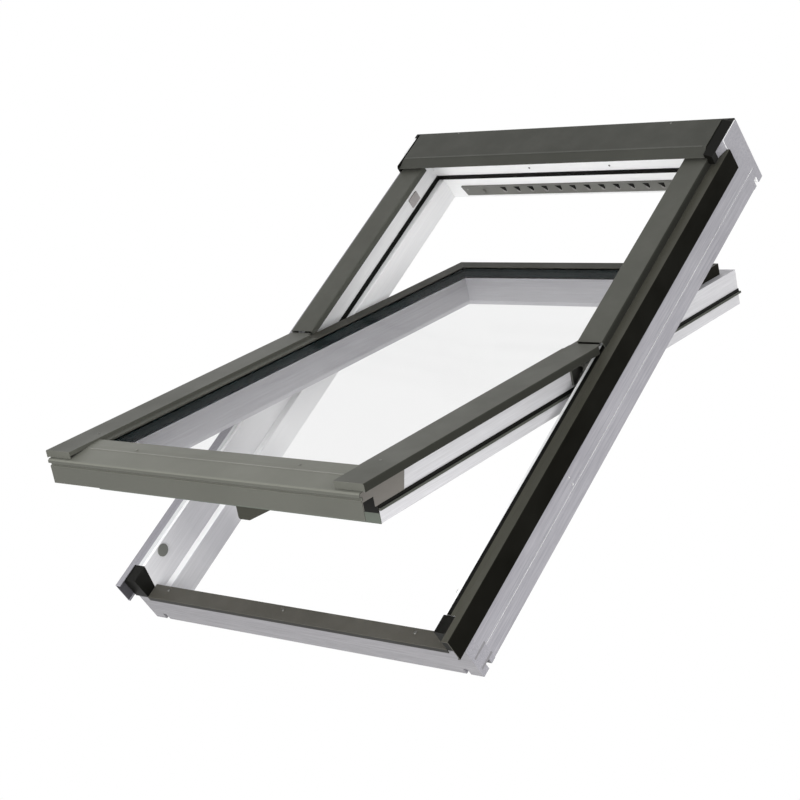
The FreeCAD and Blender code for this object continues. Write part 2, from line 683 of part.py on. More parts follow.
# Apron over the foot of the sash, rolled and crimped at its nose, with a wall in front of the sill

apron_half = s.apron_width / 2
apron_wall = apron_front + s.apron_wall_set
crimp_y = apron_front + s.apron_crimp
half_metal = s.metal / 2
apron_section = [
    (apron_back, glass_lip), (apron_back, apron_back_top), (crease_y, crease_top), (nose_y, -s.apron_lip),
    (apron_front, -s.apron_roll), (apron_front, -s.apron_roll_foot), (crimp_y, -s.crimp_top),
    (crimp_y, -s.crimp_foot), (apron_wall, -s.apron_wall_top), (apron_wall, -s.apron_foot),
    (apron_wall + s.metal, -s.apron_foot), (apron_wall + s.metal, -s.apron_wall_top - half_metal),
    (crimp_y + s.metal, -s.crimp_foot - half_metal), (crimp_y + s.metal, -s.crimp_top + half_metal),
    (apron_front + s.metal, -s.apron_roll_foot + half_metal),
    (apron_front + s.metal, -s.apron_roll - half_metal),
    (nose_y + half_metal, -s.apron_lip - s.metal), (crease_y, crease_top - s.metal),
    (apron_back - s.metal, apron_back_top - s.metal), (apron_back - s.metal, glass_lip),
]
keep(bar("apron", "across", apron_section, -apron_half, apron_half), "apron", sash_place)

# Brackets that carry the apron, one on the outer face of each stile

bracket_front = apron_wall + s.metal
bracket_back = bracket_front + s.bracket_length
bracket_outline = [
    (bracket_front, -s.apron_foot), (s.bracket_notch_start, -s.apron_foot),
    (s.bracket_notch_start, -s.bracket_notch_top), (s.bracket_notch_end, -s.bracket_notch_top),
    (s.bracket_notch_end, -s.sash_seal_top), (bracket_back - s.bracket_slant, -s.sash_seal_top),
    (bracket_back, stile_top), (s.sash_foot, stile_top), (bracket_front, -s.apron_wall_top - s.metal),
]
for side, left in SIDES:
    name = side + "_apron_bracket"
    body = bar(name, "across", bracket_outline, *on_side(left, sash_half, sash_half + s.metal))
    keep(body, name, sash_place)

# Glazing beads round the upper half of the glass, mitred at the top corners

bead_head = glass_head + s.bead_width
bead_top = -s.bead_drop


def bead_section(edge, outer):
    """A folded bead that rises from the glass at its edge to the outer side."""
    return [
        (edge, glass_lip), (edge + s.metal, glass_lip), (outer - s.metal, bead_top - s.metal),
        (outer - s.metal, stile_top), (outer, stile_top), (outer, bead_top), (edge, glass_lip + s.metal),
    ]


for name, left, body in both_sides("glazing_bead", bead_section(glass_half, bead_outer),
                                   pivot_y + s.bead_end_gap, bead_head):
    mitre = [
        (glass_half, glass_head), (bead_outer, bead_head), (bead_outer, bead_head + s.cut_margin),
        (glass_half - s.cut_margin, bead_head + s.cut_margin), (glass_half - s.cut_margin, glass_head),
    ]
    cut_outline(body, name + "_mitre", "flat", side_points(left, mitre),
                stile_top - s.cut_margin, s.cut_margin)
    keep(body, name, sash_place)
body = bar("top_glazing_bead", "across", bead_section(glass_head, bead_head), -bead_outer, bead_outer)
for side, left in SIDES:
    mitre = [
        (glass_half, glass_head), (bead_outer, bead_head), (bead_outer + s.cut_margin, bead_head),
        (bead_outer + s.cut_margin, glass_head - s.cut_margin), (glass_half, glass_head - s.cut_margin),
    ]
    cut_outline(body, "top_bead_mitre_" + side, "flat", side_points(left, mitre),
                stile_top - s.cut_margin, s.cut_margin)
keep(body, "top_glazing_bead", sash_place)

# Seals and drip strips on the outer faces of the sash

seal_foot = -s.sash_seal_top - s.sash_seal_height
seal_section = box_outline(sash_half, sash_half + s.sash_seal_width, seal_foot, -s.sash_seal_top)
drip_section = box_outline(sash_half, sash_half + s.drip_width, seal_foot - s.drip_height, seal_foot)
drip_end = sash_head + s.drip_tip
for kind, section, end in (("sash_seal", seal_section, sash_head), ("drip_strip", drip_section, drip_end)):
    for name, left, body in both_sides(kind, section, s.sash_foot, end):
        keep(body, name, sash_place)

# Dark strip across the foot of the sash

foot_section = box_outline(s.sash_foot - s.metal, s.sash_foot, sash_room_face, glass_under)
keep(bar("foot_strip", "across", foot_section, -sash_half, sash_half), "foot_strip", sash_place)

# Friction hinges: an arched track on the jamb, a link that runs in it, and a shoe on
# the stile that runs in the link. All three arcs are centred on the pivot line, so
# the sash turns about a line that lies above the covers, with no pin there.


def disc(name, radius, reach, end_angle=None, arc=None):
    """A disc about the pivot line over a stretch of x, or the slice of it below end_angle."""
    low, high = reach
    item = document.addObject("Part::Cylinder", name)
    bind(item, Radius=radius, Height=high - low)
    upright = FreeCAD.Rotation(FreeCAD.Vector(1, 1, 1), 120)
    start = FreeCAD.Rotation()
    if arc is not None:
        bind(item, Angle=arc)
        start = FreeCAD.Rotation(FreeCAD.Vector(1, 0, 0), -end_angle.value - arc.value)
    spot = FreeCAD.Vector(low.value, pivot_point.y, pivot_point.z)
    item.Placement = FreeCAD.Placement(spot, start * upright)
    return item


def less(name, base, tool):
    item = document.addObject("Part::Cut", name)
    item.Base = base
    item.Tool = tool
    return item


def arc_band(name, width, reach, arc=None):
    """A ring about the pivot line on the track's radius, or an arc of it."""
    outer = disc(name + "_outside", s.track_radius + width / 2, reach, s.hinge_end_angle, arc)
    inner = disc(name + "_inside", s.track_radius - width / 2, reach)
    return less(name, outer, inner)


def plate(name, reach, y0, y1, z0, z1):
    """A flat plate against a side face."""
    low, high = reach
    item = document.addObject("Part::Box", name)
    bind(item, Length=high - low, Width=y1 - y0, Height=z1 - z0)
    item.Placement.Base = FreeCAD.Vector(low.value, y0.value, z0.value)
    return item


track_face = jamb_inner - s.track_depth
track_bed = jamb_inner - s.track_floor
link_outer = track_bed - s.seat_gap
link_face = link_outer - s.link_depth
tongue_end = link_face + s.tongue_depth - s.seat_gap
shoe_face = sash_half + s.shoe_plate
track_band = s.link_width + s.track_wall * 2
track_half = s.track_radius + track_band / 2
for side, left in SIDES:
    arch = arc_band(side + "_track_arch", track_band, on_side(left, track_face, jamb_inner), s.track_arc)
    groove = arc_band(side + "_track_groove", s.link_width, on_side(left, track_face, track_bed))
    back = plate(side + "_track_plate", on_side(left, track_bed, jamb_inner),
                 pivot_y - track_half, pivot_y + track_half, -s.track_foot, -s.jamb_top_depth)
    track = fused(side + "_hinge_track", less(side + "_track_rails", arch, groove), back)
    keep(track, side + "_hinge_track", frame_place)

    slider = arc_band(side + "_link_slider", s.link_width - s.seat_gap * 2,
                      on_side(left, link_face, link_outer), s.link_arc)
    slot = arc_band(side + "_link_slot", s.tongue_width, on_side(left, link_face, link_face + s.tongue_depth))
    keep(less(side + "_hinge_link", slider, slot), side + "_hinge_link", link_place)

    tongue = arc_band(side + "_shoe_tongue", s.tongue_width - s.seat_gap * 2,
                      on_side(left, sash_half, tongue_end), s.shoe_arc)
    foot = plate(side + "_shoe_plate", on_side(left, sash_half, shoe_face),
                 pivot_y + s.shoe_shift - s.shoe_length / 2, pivot_y + s.shoe_shift + s.shoe_length / 2,
                 -s.shoe_foot, stile_top)
    keep(fused(side + "_hinge_shoe", tongue, foot), side + "_hinge_shoe", sash_place)

# Handle on the room side of the bottom rail: a base plate and a wedge-shaped lever

handle_right = s.handle_length - s.handle_left
base_foot = s.sash_foot + s.handle_edge_gap
base_face = sash_room_face - s.handle_thick
base_outline = box_outline(-s.handle_left, handle_right, base_foot, base_foot + s.handle_width)
base_corners = [(-s.handle_left, base_foot), (handle_right, base_foot),
                (-s.handle_left, base_foot + s.handle_width), (handle_right, base_foot + s.handle_width)]
body = bar("handle_base", "flat", base_outline, base_face, sash_room_face)
rounded(body, "handle_base_corners", "flat", base_corners, s.handle_thick)
keep(body, "handle_base", sash_place)

lever_left = -s.handle_left + s.lever_back
lever_foot = base_foot + (s.handle_width - s.lever_width) / 2
lever_section = [
    (lever_left, base_face), (lever_left, base_face - s.lever_drop),
    (lever_left + s.lever_flat, base_face - s.lever_drop), (handle_right, base_face),
]
body = bar("handle_lever", "along", lever_section, lever_foot, lever_foot + s.lever_width)
lever_corners = [
    (lever_left, base_face - s.lever_drop), (lever_left + s.lever_flat, base_face - s.lever_drop),
]
rounded(body, "handle_lever_corners", "along", lever_corners, s.handle_thick)
keep(body, "handle_lever", sash_place)

# Check every object, then write one file for each sub-part

document.recompute()
for item in document.Objects:
    if "Invalid" in item.State or "Error" in item.State:
        raise RuntimeError("%s did not compute: %s" % (item.Label, item.State))
for item in parts:
    if item.Shape.isNull() or not item.Shape.isValid():
        raise RuntimeError("%s has no sound shape" % item.Label)

os.makedirs("parts", exist_ok=True)
for item in parts:
    item.Shape.exportStep(os.path.join("parts", item.Label + ".step"))
print("%d sub-parts written" % len(parts))
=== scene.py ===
import math

import bmesh
import bpy
from mathutils import Matrix, Vector


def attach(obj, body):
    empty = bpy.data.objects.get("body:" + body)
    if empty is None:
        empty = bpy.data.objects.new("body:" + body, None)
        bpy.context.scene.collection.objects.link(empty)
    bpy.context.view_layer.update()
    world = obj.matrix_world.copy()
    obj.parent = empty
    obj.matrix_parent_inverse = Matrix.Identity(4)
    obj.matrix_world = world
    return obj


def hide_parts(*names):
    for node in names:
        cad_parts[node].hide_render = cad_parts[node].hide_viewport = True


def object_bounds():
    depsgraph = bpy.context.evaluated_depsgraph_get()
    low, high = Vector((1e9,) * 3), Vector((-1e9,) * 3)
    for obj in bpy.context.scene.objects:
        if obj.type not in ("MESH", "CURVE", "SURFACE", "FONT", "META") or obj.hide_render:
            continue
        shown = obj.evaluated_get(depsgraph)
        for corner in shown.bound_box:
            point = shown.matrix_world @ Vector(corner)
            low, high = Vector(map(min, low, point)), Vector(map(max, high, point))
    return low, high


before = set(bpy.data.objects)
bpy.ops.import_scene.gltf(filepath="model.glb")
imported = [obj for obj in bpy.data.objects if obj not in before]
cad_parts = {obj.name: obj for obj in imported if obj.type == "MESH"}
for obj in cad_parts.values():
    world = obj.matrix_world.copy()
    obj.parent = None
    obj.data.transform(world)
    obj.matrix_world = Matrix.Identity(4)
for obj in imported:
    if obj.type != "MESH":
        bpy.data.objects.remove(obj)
cad_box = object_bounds()

# Places on the window
# Points are given as on the drawing of the closed window: across, up the slope,
# and out of the roof. The frame leans back at the roof pitch, and the sash is
# swung open about the pivot line.

ROOF_PITCH = math.radians(45)
SASH_SWING = math.radians(27.5)
SASH_LEAN = ROOF_PITCH - SASH_SWING
DATUM_DEPTH = 0.108
PIVOT = Vector((0, 0.590, 0.005))
QUARTER_TURN = math.radians(90)
HALF_WIDTH = 0.390

frame_place = Matrix.Rotation(ROOF_PITCH, 4, "X") @ Matrix.Translation((0, 0, DATUM_DEPTH))
sash_place = (
    frame_place @ Matrix.Translation(PIVOT)
    @ Matrix.Rotation(-SASH_SWING, 4, "X") @ Matrix.Translation(-PIVOT)
)


# Shader tree helpers

VECTOR = "NodeSocketVector"
NUMBER = "NodeSocketFloat"
FIRST_COLOUR, SECOND_COLOUR, MIXED_COLOUR = 6, 7, 2


def add_node(tree, kind, **settings):
    node = tree.nodes.new(kind)
    for name, value in settings.items():
        setattr(node, name, value)
    return node


def feed(socket, value):
    """Links an input to an output, or sets it to a number, vector or colour."""
    if isinstance(value, bpy.types.NodeSocket):
        socket.id_data.links.new(value, socket)
    else:
        socket.default_value = value


def fill(node, **values):
    """Feeds a node's inputs, named with underscores for spaces."""
    for name, value in values.items():
        feed(node.inputs[name.replace("_", " ")], value)
    return node


def maths(tree, operation, *values):
    node = add_node(tree, "ShaderNodeMath", operation=operation)
    for socket, value in zip(node.inputs, values):
        feed(socket, value)
    return node.outputs[0]


def component(tree, vector, axis):
    parts = add_node(tree, "ShaderNodeSeparateXYZ")
    feed(parts.inputs[0], vector)
    return parts.outputs[axis]


def face_normal(tree):
    return add_node(tree, "ShaderNodeNewGeometry").outputs["Normal"]


def stretch(tree, vector, scale):
    node = fill(add_node(tree, "ShaderNodeMapping"), Vector=vector, Scale=scale)
    return node.outputs["Vector"]


def noise(tree, vector, scale, detail=3.0, roughness=0.55):
    node = add_node(tree, "ShaderNodeTexNoise")
    fill(node, Vector=vector, Scale=scale, Detail=detail, Roughness=roughness)
    return node.outputs["Fac"]


def spread(tree, value, low, high, to_low=0.0, to_high=1.0):
    """Maps a value's range from low and high to another one, clamped."""
    node = add_node(tree, "ShaderNodeMapRange")
    fill(node, Value=value, From_Min=low, From_Max=high, To_Min=to_low, To_Max=to_high)
    return node.outputs["Result"]


def tint(tree, mask, first, second):
    """Goes from the first colour to the second as the mask goes from 0 to 1."""
    node = add_node(tree, "ShaderNodeMix", data_type="RGBA")
    feed(node.inputs["Factor"], mask)
    for place, colour in ((FIRST_COLOUR, first), (SECOND_COLOUR, second)):
        feed(node.inputs[place], (*colour, 1.0) if isinstance(colour, tuple) else colour)
    return node.outputs[MIXED_COLOUR]


def shader_group(name, inputs, outputs):
    """A new group that takes a Vector and the inputs given, and makes masks or values."""
    tree = bpy.data.node_groups.new(name, "ShaderNodeTree")
    tree.interface.new_socket("Vector", in_out="INPUT", socket_type=VECTOR)
    for socket_name, value in inputs.items():
        socket = tree.interface.new_socket(socket_name, in_out="INPUT", socket_type=NUMBER)
        socket.default_value = value
    for socket_name in outputs:
        tree.interface.new_socket(socket_name, in_out="OUTPUT", socket_type=NUMBER)
    return tree, add_node(tree, "NodeGroupInput"), add_node(tree, "NodeGroupOutput")


# Shader groups: grain, coating, edges, dust and masks by place or direction

def make_grain_group():
    """Softwood grain under thin paint: long streaks along the second coordinate."""
    tree, given, made = shader_group("timber_grain", {}, ["Streaks", "Bands", "Height"])
    place = given.outputs["Vector"]
    fine = noise(tree, stretch(tree, place, (420, 7, 420)), 1.0, 5.0, 0.65)
    bands = noise(tree, stretch(tree, place, (38, 1.6, 38)), 1.0, 3.0)
    pores = noise(tree, stretch(tree, place, (1100, 24, 1100)), 1.0, 2.0)
    streaks = maths(tree, "ADD", maths(tree, "MULTIPLY", fine, 0.65), maths(tree, "MULTIPLY", pores, 0.35))
    fill(
        made,
        Streaks=spread(tree, streaks, 0.36, 0.64),
        Bands=spread(tree, bands, 0.34, 0.66),
        Height=maths(tree, "ADD", streaks, maths(tree, "MULTIPLY", bands, 0.4)),
    )
    return tree


def make_coating_group():
    """Baked coating on metal or a moulded skin: broad clouds and a fine peel."""
    tree, given, made = shader_group("coating", {"Peel Scale": 900.0}, ["Clouds", "Peel"])
    clouds = noise(tree, given.outputs["Vector"], 7.0, 4.0)
    peel = noise(tree, given.outputs["Vector"], given.outputs["Peel Scale"], 2.0)
    fill(made, Clouds=spread(tree, clouds, 0.3, 0.7), Peel=peel)
    return tree


def make_edge_group():
    """Painted highlight and wear on edges: where a rounded normal leaves the face's own."""
    tree, given, made = shader_group("edge_wear_and_highlight", {"Radius": 0.0012}, ["Mask"])
    rounded = fill(add_node(tree, "ShaderNodeBevel", samples=4), Radius=given.outputs["Radius"])
    turn = add_node(tree, "ShaderNodeVectorMath", operation="DOT_PRODUCT")
    feed(turn.inputs[0], rounded.outputs["Normal"])
    feed(turn.inputs[1], face_normal(tree))
    edge = spread(tree, turn.outputs["Value"], 1.0, 0.86)
    broken = spread(tree, noise(tree, given.outputs["Vector"], 60.0, 4.0), 0.32, 0.62, 0.35, 1.0)
    fill(made, Mask=maths(tree, "MULTIPLY", edge, broken))
    return tree


def make_dust_group():
    """Thin dust on faces that look up, patchy."""
    tree, given, made = shader_group("settled_dust", {}, ["Mask"])
    up = spread(tree, component(tree, face_normal(tree), "Z"), 0.25, 0.95)
    patches = spread(tree, noise(tree, given.outputs["Vector"], 22.0, 5.0, 0.6), 0.42, 0.75)
    fill(made, Mask=maths(tree, "MULTIPLY", up, patches))
    return tree


def make_flank_group():
    """Faces that look sideways, away from the middle of the window or towards it."""
    tree, given, made = shader_group("flank", {}, ["Mask", "Inward"])
    hand = maths(tree, "SIGN", component(tree, given.outputs["Vector"], "X"))
    outward = maths(tree, "MULTIPLY", component(tree, face_normal(tree), "X"), hand)
    uneven = spread(tree, noise(tree, given.outputs["Vector"], 9.0, 3.0), 0.3, 0.7, 0.95, 1.0)
    fill(
        made,
        Mask=maths(tree, "MULTIPLY", spread(tree, outward, 0.3, 0.6), uneven),
        Inward=maths(tree, "MULTIPLY", spread(tree, outward, -0.3, -0.6), uneven),
    )
    return tree


def make_underside_group():
    """Faces that look down, even a little."""
    tree, given, made = shader_group("underside", {}, ["Mask"])
    down = spread(tree, component(tree, face_normal(tree), "Z"), -0.05, -0.25)
    uneven = spread(tree, noise(tree, given.outputs["Vector"], 6.0, 3.0), 0.3, 0.7, 0.92, 1.0)
    fill(made, Mask=maths(tree, "MULTIPLY", down, uneven))
    return tree


def make_low_shade_group():
    """Where painted shade goes on a jamb: its lower half, fading in below the pivot and out again at the
    foot.
    """
    tree, given, made = shader_group("low", {}, ["Mask"])
    up_slope = component(tree, given.outputs["Vector"], "Y")
    below_pivot = spread(tree, up_slope, 0.44, 0.22)
    above_foot = spread(tree, up_slope, 0.02, 0.16, 0.55, 1.0)
    fill(made, Mask=maths(tree, "MULTIPLY", below_pivot, above_foot))
    return tree


def make_hand_group():
    """Whatever lies on the left half of the window, and further out than a given place."""
    tree, given, made = shader_group("hand", {"Beyond": 0.0}, ["Left", "Outer"])
    place = component(tree, given.outputs["Vector"], "X")
    fill(
        made,
        Left=maths(tree, "LESS_THAN", place, 0.0),
        Outer=maths(tree, "GREATER_THAN", maths(tree, "ABSOLUTE", place), given.outputs["Beyond"]),
    )
    return tree


groups = {
    "grain": make_grain_group(),
    "coating": make_coating_group(),
    "edge": make_edge_group(),
    "dust": make_dust_group(),
    "flank": make_flank_group(),
    "underside": make_underside_group(),
    "low": make_low_shade_group(),
    "hand": make_hand_group(),
}


# Colours of the timber

WHITE_PAINT = ((0.80, 0.80, 0.81), (0.88, 0.88, 0.88))
# The head's paint is a lighter copy of the white paint: painted light on the head.
HEAD_PAINT_LIT = ((0.87, 0.87, 0.87), (0.93, 0.93, 0.93))
# The sash's paint is a darker copy of the same white paint: painted shade on the sash.
SASH_PAINT_SHADED = ((0.40, 0.395, 0.415), (0.50, 0.495, 0.52))
SILL_PAINT = ((0.150, 0.147, 0.155), (0.220, 0.216, 0.226))
BARE_SIDE = ((0.218, 0.214, 0.234), (0.330, 0.323, 0.350))
# A darker copy of the white paint for the sash's outward faces: painted shade.
SASH_SIDE_SHADED = ((0.48, 0.476, 0.49), (0.59, 0.586, 0.603))
# A darker copy of the white paint: painted shade on the jambs' inward faces below the pivot.
LOW_SIDE_SHADED = ((0.325, 0.321, 0.342), (0.385, 0.381, 0.402))

# Colours of the sheet metal

BEAD_BROWN = (0.036, 0.035, 0.028)
# A darker copy of the grey-brown coating: painted shade on the hood.
HOOD_SHADED_BROWN = (0.047, 0.048, 0.041)
COVER_BROWN = (0.068, 0.069, 0.059)
SASH_BROWN = (0.078, 0.079, 0.067)
# A lighter copy of the grey-brown coating: painted light on the apron.
APRON_LIT_BROWN = (0.147, 0.149, 0.128)
STRIP_BROWN = (0.062, 0.059, 0.050)
# Lighter browns for the hood's fold and the apron's crease: painted highlights.
FOLD_HIGHLIGHT_BROWN = (0.068, 0.069, 0.062)
RIB_HIGHLIGHT_BROWN = (0.20, 0.20, 0.18)
DRIP_BROWN = (0.075, 0.079, 0.068)
BRACKET_BROWN = (0.157, 0.148, 0.136)
# The edge colours of the metals stand for wear and a painted highlight.
WORN_AND_HIGHLIGHT_BROWN = (0.16, 0.16, 0.14)
CHANNEL_BROWN = (0.051, 0.050, 0.040)
# Edge colour of the channel and foot: wear and a painted highlight.
CHANNEL_WORN_AND_HIGHLIGHT = (0.06, 0.055, 0.045)
# Lilac on the left channel: a painted reflection on the same dark coating as the right one.
CHANNEL_REFLECTION_LILAC = (0.27, 0.265, 0.29)
# Near-black on the foot strip: painted shade.
FOOT_SHADE_BLACK = (0.006, 0.006, 0.005)
FOOT_GREEN = (0.080, 0.090, 0.076)
HANDLE_GREY = (0.030, 0.030, 0.023)
# Edge colour of the handle: wear and a painted highlight.
HANDLE_WORN_AND_HIGHLIGHT = (0.12, 0.12, 0.12)
DUST = (0.30, 0.29, 0.27)

# Colours of the glass, rubber, plastic and steel

CLEAR_GLASS = (0.945, 0.945, 0.945)
DUSTY_GLASS = (0.90, 0.91, 0.91)
EDGE_GREEN = (0.004, 0.010, 0.011)
BLACK = (0.004, 0.004, 0.003)
PALE_SEAL = (0.62, 0.63, 0.64)
VENT_GREY = (0.175, 0.175, 0.16)
PLUG_GREY = (0.13, 0.133, 0.122)
CATCH_GREY = (0.42, 0.395, 0.39)
SHUTTER_GREY = (0.27, 0.262, 0.25)
HINGE_STEEL = (0.20, 0.20, 0.18)
SCREW_STEEL = (0.16, 0.16, 0.15)
JOINT_GREY = (0.22, 0.215, 0.225)

# Where a colour changes within a piece

# Beyond this the hood's sheet is black: painted shade on its ends.
HOOD_SHADE_START = 0.3735
SEAL_RIM_START = 0.371
FOOT_GREEN_TOP = 0.2917


# Materials

materials = {}


class Finish:
    """A material with its Principled shader, and its coordinates turned square to a piece."""

    def __init__(self, name, lean=ROOF_PITCH, grain_turn=0.0):
        material = bpy.data.materials.new(name)
        material.use_nodes = True
        self.tree = material.node_tree
        self.shader = self.tree.nodes["Principled BSDF"]
        self.place = add_node(self.tree, "ShaderNodeTexCoord").outputs["Object"]
        square = add_node(self.tree, "ShaderNodeMapping")
        fill(square, Vector=self.place, Rotation=(-lean, 0, grain_turn))
        self.vector = square.outputs["Vector"]
        materials[name] = material

    def group(self, name, **values):
        node = add_node(self.tree, "ShaderNodeGroup", node_tree=groups[name])
        fill(node, Vector=self.vector, **values)
        return node.outputs

    def placed(self, name, **values):
        """A group that goes by where a point lies, with the coordinates not turned."""
        node = add_node(self.tree, "ShaderNodeGroup", node_tree=groups[name])
        fill(node, Vector=self.place, **values)
        return node.outputs

    def colour(self, mask, first, second):
        return tint(self.tree, mask, first, second)

    def part_colour(self, mask, share, first, second):
        """Like colour, with the second colour laid on only up to a share."""
        return tint(self.tree, spread(self.tree, mask, 0, 1, 0.0, share), first, second)

    def between(self, mask, first, second):
        return spread(self.tree, mask, 0, 1, first, second)

    def bump(self, height, strength, distance):
        node = add_node(self.tree, "ShaderNodeBump")
        fill(node, Height=height, Strength=strength, Distance=distance)
        feed(self.shader.inputs["Normal"], node.outputs["Normal"])

    def set(self, **values):
        fill(self.shader, **values)


def scaled(colour, factor, lift=0.0):
    return tuple(min(1.0, part * factor + lift) for part in colour)


def painted_timber(name, lean, grain_turn, paint=WHITE_PAINT, side=BARE_SIDE, low_shade=None):
    """Painted wood, greyer on faces that look outward: bare grain on the frame, painted shade on the sash;
    edges get a painted highlight.
    """
    finish = Finish(name, lean, grain_turn)
    grain = finish.group("grain")
    edge = finish.group("edge", Radius=0.0016)
    flank = finish.placed("flank")
    shade, light = paint
    streaked = finish.colour(grain["Streaks"], shade, light)
    banded = finish.part_colour(grain["Bands"], 0.30, streaked, shade)
    # Painted shade on the jamb's inward faces below the pivot.
    if low_shade is not None:
        low = maths(finish.tree, "MULTIPLY", finish.group("low")["Mask"], flank["Inward"])
        banded = finish.part_colour(low, low_shade, banded, finish.colour(grain["Streaks"], *LOW_SIDE_SHADED))
    sided = finish.colour(flank["Mask"], banded, finish.colour(grain["Streaks"], *side))
    # Edges take a share of the light paint: a painted highlight.
    finish.set(
        Base_Color=finish.part_colour(edge["Mask"], 0.12, sided, light),
        Roughness=finish.between(grain["Streaks"], 0.52, 0.40),
        Specular_IOR_Level=0.25,
    )
    finish.bump(grain["Height"], 0.25, 0.0006)


def coated_metal(name, lean, base, worn_and_highlight=WORN_AND_HIGHLIGHT_BROWN, roughness=0.42, specular=0.12, dust=0.06,
                 flank_shade=0.35, inner_shade=None, under_shade=None, shade_black_beyond=None, green_below=None):
    """Baked coating on sheet metal, with painted shade on its flanks and, where asked, on inward and
    downward faces.
    """
    finish = Finish(name, lean)
    coat = finish.group("coating", Peel_Scale=1100.0)
    edge = finish.group("edge", Radius=0.0014)
    dusty = finish.group("dust")
    flank = finish.placed("flank")
    clouded = finish.colour(coat["Clouds"], scaled(base, 0.90), base)
    # Painted shade on faces that look outward, and where asked on inward and downward faces.
    toned = finish.colour(flank["Mask"], clouded, scaled(base, flank_shade))
    if inner_shade is not None:
        toned = finish.colour(flank["Inward"], toned, scaled(base, inner_shade))
    if under_shade is not None:
        toned = finish.colour(finish.placed("underside")["Mask"], toned, scaled(base, under_shade))
    # Black beyond a place across the window: painted shade.
    if shade_black_beyond is not None:
        toned = finish.colour(finish.placed("hand", Beyond=shade_black_beyond)["Outer"], toned, BLACK)
    if green_below is not None:
        below = maths(finish.tree, "LESS_THAN", component(finish.tree, finish.vector, "Z"), green_below)
        toned = finish.colour(below, toned, FOOT_GREEN)
    # Edges: wear and a painted highlight.
    edged = finish.part_colour(edge["Mask"], 0.45, toned, worn_and_highlight)
    finish.set(
        Base_Color=finish.part_colour(dusty["Mask"], dust, edged, DUST),
        Roughness=finish.between(coat["Clouds"], roughness + 0.06, roughness - 0.05),
        Specular_IOR_Level=finish.between(flank["Mask"], specular, 0.0),
    )
    finish.bump(coat["Peel"], 0.12, 0.00025)


def moulded(name, lean, base, roughness=0.5, specular=0.3, left_base=None, rim_start=None, rim_bases=None):
    """Plastic or rubber with a fine mould texture and a painted highlight on its edges."""
    finish = Finish(name, lean)
    skin = finish.group("coating", Peel_Scale=1600.0)
    edge = finish.group("edge", Radius=0.0009)
    clouded = finish.colour(skin["Clouds"], scaled(base, 0.82), base)
    # Edges paler: a painted highlight.
    toned = finish.part_colour(edge["Mask"], 0.5, clouded, scaled(base, 1.5, 0.01))
    if left_base is not None:
        hand = finish.placed("hand", Beyond=rim_start)
        right_rim, left_rim = rim_bases
        right_side = finish.colour(hand["Outer"], toned, right_rim)
        left_side = finish.colour(hand["Outer"], left_base, left_rim)
        toned = finish.colour(hand["Left"], right_side, left_side)
    finish.set(
        Base_Color=toned,
        Roughness=spread(finish.tree, skin["Peel"], 0.3, 0.7, roughness - 0.05, roughness + 0.08),
        Specular_IOR_Level=specular,
    )
    finish.bump(skin["Peel"], 0.2, 0.0002)


def plated_steel(name, lean, base):
    finish = Finish(name, lean)
    skin = finish.group("coating", Peel_Scale=500.0)
    edge = finish.group("edge", Radius=0.0008)
    clouded = finish.colour(skin["Clouds"], scaled(base, 0.7), base)
    # Edges paler: a painted highlight.
    finish.set(
        Base_Color=finish.part_colour(edge["Mask"], 0.7, clouded, scaled(base, 1.6)),
        Roughness=finish.between(skin["Clouds"], 0.42, 0.30),
        Metallic=0.85,
    )
    finish.bump(skin["Peel"], 0.1, 0.0002)


def window_glass(name):
    finish = Finish(name, SASH_LEAN)
    film = finish.group("dust")["Mask"]
    finish.set(
        Base_Color=finish.part_colour(film, 0.10, CLEAR_GLASS, DUSTY_GLASS),
        Roughness=finish.between(film, 0.0, 0.012),
        IOR=1.02,
        Transmission_Weight=1.0,
    )


painted_timber("frame_timber_up", ROOF_PITCH, 0.0, low_shade=0.95)
painted_timber("frame_timber_across", ROOF_PITCH, QUARTER_TURN, HEAD_PAINT_LIT)
painted_timber("sill_timber", ROOF_PITCH, QUARTER_TURN, SILL_PAINT)
painted_timber("sash_timber_up", SASH_LEAN, 0.0, SASH_PAINT_SHADED, SASH_SIDE_SHADED)
painted_timber("sash_timber_across", SASH_LEAN, QUARTER_TURN, SASH_PAINT_SHADED, SASH_SIDE_SHADED)

coated_metal("hood_cladding", ROOF_PITCH, HOOD_SHADED_BROWN, shade_black_beyond=HOOD_SHADE_START)
coated_metal("cover_cladding", ROOF_PITCH, COVER_BROWN)
coated_metal("sash_cladding", SASH_LEAN, SASH_BROWN)
coated_metal("bead_cladding", SASH_LEAN, BEAD_BROWN)
coated_metal("apron_cladding", SASH_LEAN, APRON_LIT_BROWN, under_shade=0.45)
coated_metal("strip_cladding", ROOF_PITCH, STRIP_BROWN, under_shade=0.15)
coated_metal("fold_highlight_metal", ROOF_PITCH, FOLD_HIGHLIGHT_BROWN)
coated_metal("rib_highlight_metal", SASH_LEAN, RIB_HIGHLIGHT_BROWN)
coated_metal("bracket_metal", SASH_LEAN, BRACKET_BROWN, flank_shade=1.0)
coated_metal("channel_metal", ROOF_PITCH, CHANNEL_BROWN, CHANNEL_WORN_AND_HIGHLIGHT, 0.34, dust=0.03, flank_shade=0.12)
